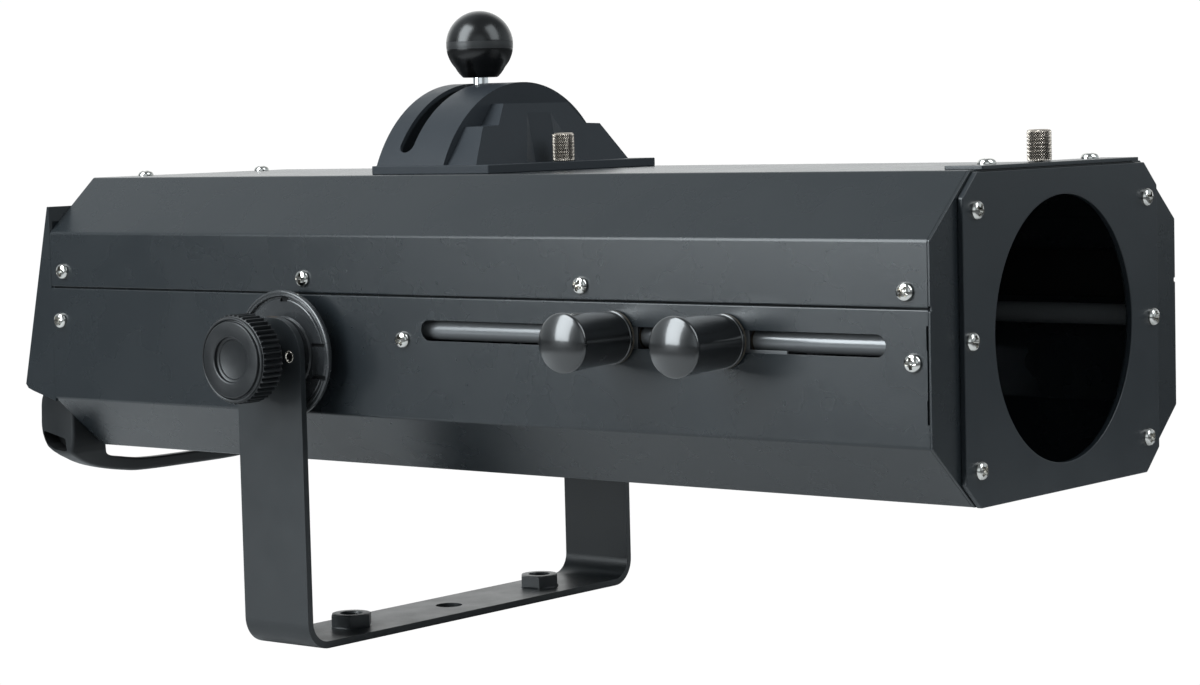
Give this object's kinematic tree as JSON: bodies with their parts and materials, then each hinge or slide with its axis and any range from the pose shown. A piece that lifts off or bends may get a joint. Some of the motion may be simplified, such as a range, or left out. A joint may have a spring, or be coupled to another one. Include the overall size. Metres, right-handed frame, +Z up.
{
  "type": "followspot",
  "caption": "Followspot with an octagonal sheet-metal head, sliding zoom and focus lenses, an iris lever under an arched cover, a rear handle and a U yoke with lock knobs.",
  "frame": {"origin": "centre of the hole in the yoke's base, on the base's underside", "axes": "+X along the beam, +Z up from the yoke's base toward the head, the slider controls on the -Y side"},
  "size_m": [0.672, 0.3506, 0.3586],
  "materials": {
    "yoke_black": "satin",
    "zinc": "satin",
    "bright_nickel": "polished",
    "friction": "matte",
    "knob_black": "satin",
    "brass": "satin",
    "shell_grey": "satin",
    "front_grey": "satin",
    "dome_grey": "satin",
    "gloss_black": "gloss",
    "polished_steel": "polished",
    "bronze_knurl": "satin",
    "alloy": "satin",
    "alloy_black": "matte",
    "disc_black": "satin",
    "bronze": "satin",
    "lens_glass": "gloss",
    "board": "matte",
    "display": "gloss",
    "socket_black": "matte",
    "button_grey": "satin",
    "inner_black": "matte"
  },
  "bodies": {
    "yoke": {"yoke_strap": "yoke_black", "yoke_weld_nuts": "yoke_black", "yoke_rivets": "bright_nickel", "yoke_friction_washers": "friction"},
    "head": {"upper_shell": "shell_grey", "lower_shell": "shell_grey", "front_bulkhead": "shell_grey", "front_plate": "front_grey", "front_top_strip": "front_grey", "pan_screws": "bright_nickel", "clip_nuts": "zinc", "dome_housing": "dome_grey", "iris_frame": "alloy", "clutch_discs": "disc_black", "pivot_studs": "zinc", "guide_rods": "polished_steel", "rod_blocks": "alloy_black", "optical_bulkhead": "alloy_black", "heatsink": "alloy", "led_board": "board", "condenser_lens": "lens_glass", "condenser_holder": "alloy", "power_supply": "alloy", "fan_frame": "socket_black", "rear_bulkhead": "inner_black", "rear_cap": "shell_grey", "display_window": "display", "rear_sockets": "socket_black", "handle": "knob_black", "handle_screws": "zinc"},
    "near_lock": {"near_lock_knob": "knob_black", "near_knob_insert": "brass"},
    "far_lock": {"far_lock_knob": "knob_black", "far_knob_insert": "brass"},
    "front_thumb": {"front_thumbscrew": "bronze_knurl"},
    "dome_thumb": {"dome_thumbscrew": "bronze_knurl"},
    "lever": {"iris_lever": "polished_steel", "iris_ball": "gloss_black"},
    "ring": {"iris_ring": "alloy"},
    "rear_carriage": {"rear_lens": "lens_glass", "rear_lens_cell": "alloy_black", "rod_bushes_rear": "bronze"},
    "front_carriage": {"front_lens": "lens_glass", "front_lens_cell": "alloy_black", "rod_bushes_front": "bronze"},
    "rear_slider": {"rear_slider_knob": "gloss_black"},
    "front_slider": {"front_slider_knob": "gloss_black"},
    "fan": {"fan_rotor": "socket_black"},
    "dimmer": {"dimmer_knob": "knob_black"},
    "rocker": {"power_rocker": "gloss_black"},
    "blade_1": {"iris_blade_1": "inner_black"},
    "blade_2": {"iris_blade_2": "inner_black"},
    "blade_3": {"iris_blade_3": "inner_black"},
    "blade_4": {"iris_blade_4": "inner_black"},
    "blade_5": {"iris_blade_5": "inner_black"},
    "blade_6": {"iris_blade_6": "inner_black"},
    "button_1": {"menu_button_1": "button_grey"},
    "button_2": {"menu_button_2": "button_grey"},
    "button_3": {"menu_button_3": "button_grey"},
    "button_4": {"menu_button_4": "button_grey"}
  },
  "joints": [
    {"name": "tilt", "type": "hinge", "parent": "yoke", "child": "head", "pos_m": [0, 0, 0.166], "axis": [0, -1, 0], "range_deg": [-55, 55]},
    {"name": "near_lock_turn", "type": "hinge", "parent": "head", "child": "near_lock", "pos_m": [0, -0.16, 0.166], "axis": [0, -1, 0], "range_deg": [0, 360]},
    {"name": "far_lock_turn", "type": "hinge", "parent": "head", "child": "far_lock", "pos_m": [0, 0.16, 0.166], "axis": [0, 1, 0], "range_deg": [0, 360]},
    {"name": "rear_lens_slide", "type": "slide", "parent": "head", "child": "rear_carriage", "axis": [1, 0, 0], "range_m": [-0.12, 0.017]},
    {"name": "front_lens_slide", "type": "slide", "parent": "head", "child": "front_carriage", "axis": [1, 0, 0], "range_m": [-0.017, 0.07]},
    {"name": "rear_slider_turn", "type": "hinge", "parent": "rear_carriage", "child": "rear_slider", "pos_m": [0.2304, -0.14, 0.1811], "axis": [0, -1, 0], "range_deg": [0, 180]},
    {"name": "front_slider_turn", "type": "hinge", "parent": "front_carriage", "child": "front_slider", "pos_m": [0.3019, -0.14, 0.1811], "axis": [0, -1, 0], "range_deg": [0, 180]},
    {"name": "iris_swing", "type": "hinge", "parent": "head", "child": "lever", "pos_m": [0.0368, 0, 0.2376], "axis": [1, 0, 0], "range_deg": [-55, 55]},
    {"name": "iris_ring_turn", "type": "hinge", "parent": "head", "child": "ring", "pos_m": [0.0406, 0, 0.1821], "axis": [1, 0, 0], "range_deg": [-12.5, 12.5]},
    {"name": "blade_1_turn", "type": "hinge", "parent": "head", "child": "blade_1", "pos_m": [0.0425, 0.046, 0.1821], "axis": [1, 0, 0], "range_deg": [-12, 12]},
    {"name": "blade_2_turn", "type": "hinge", "parent": "head", "child": "blade_2", "pos_m": [0.04315, 0.023, 0.22194], "axis": [1, 0, 0], "range_deg": [-12, 12]},
    {"name": "blade_3_turn", "type": "hinge", "parent": "head", "child": "blade_3", "pos_m": [0.0438, -0.023, 0.22194], "axis": [1, 0, 0], "range_deg": [-12, 12]},
    {"name": "blade_4_turn", "type": "hinge", "parent": "head", "child": "blade_4", "pos_m": [0.04445, -0.046, 0.1821], "axis": [1, 0, 0], "range_deg": [-12, 12]},
    {"name": "blade_5_turn", "type": "hinge", "parent": "head", "child": "blade_5", "pos_m": [0.0451, -0.023, 0.14226], "axis": [1, 0, 0], "range_deg": [-12, 12]},
    {"name": "blade_6_turn", "type": "hinge", "parent": "head", "child": "blade_6", "pos_m": [0.04575, 0.023, 0.14226], "axis": [1, 0, 0], "range_deg": [-12, 12]},
    {"name": "front_thumb_turn", "type": "hinge", "parent": "head", "child": "front_thumb", "pos_m": [0.4134, 0, 0.2746], "axis": [0, 0, 1], "range_deg": [0, 360]},
    {"name": "dome_thumb_turn", "type": "hinge", "parent": "head", "child": "dome_thumb", "pos_m": [0.0985, 0, 0.2776], "axis": [0, 0, 1], "range_deg": [0, 360]},
    {"name": "fan_spin", "type": "hinge", "parent": "head", "child": "fan", "pos_m": [-0.193, 0.05, 0.1996], "axis": [1, 0, 0], "continuous": true},
    {"name": "button_1_press", "type": "slide", "parent": "head", "child": "button_1", "axis": [0.9739, 0, -0.2269], "range_m": [0, 0.0015], "stiffness_N_per_m": 400, "springref_m": -0.0008},
    {"name": "button_2_press", "type": "slide", "parent": "head", "child": "button_2", "axis": [0.9739, 0, -0.2269], "range_m": [0, 0.0015], "stiffness_N_per_m": 400, "springref_m": -0.0008},
    {"name": "button_3_press", "type": "slide", "parent": "head", "child": "button_3", "axis": [0.9739, 0, -0.2269], "range_m": [0, 0.0015], "stiffness_N_per_m": 400, "springref_m": -0.0008},
    {"name": "button_4_press", "type": "slide", "parent": "head", "child": "button_4", "axis": [0.9739, 0, -0.2269], "range_m": [0, 0.0015], "stiffness_N_per_m": 400, "springref_m": -0.0008},
    {"name": "dimmer_turn", "type": "hinge", "parent": "head", "child": "dimmer", "pos_m": [-0.21584, -0.022, 0.22141], "axis": [-0.9739, 0, 0.2269], "range_deg": [-150, 150]},
    {"name": "rocker_tip", "type": "hinge", "parent": "head", "child": "rocker", "pos_m": [-0.22705, -0.046, 0.16447], "axis": [0, 1, 0], "range_deg": [0, 14]}
  ],
  "couplings": [
    {"joint": "iris_ring_turn", "follows": "iris_swing", "ratio": -0.215},
    {"joint": "blade_1_turn", "follows": "iris_swing", "ratio": -0.209},
    {"joint": "blade_2_turn", "follows": "iris_swing", "ratio": -0.209},
    {"joint": "blade_3_turn", "follows": "iris_swing", "ratio": -0.209},
    {"joint": "blade_4_turn", "follows": "iris_swing", "ratio": -0.209},
    {"joint": "blade_5_turn", "follows": "iris_swing", "ratio": -0.209},
    {"joint": "blade_6_turn", "follows": "iris_swing", "ratio": -0.209}
  ]
}
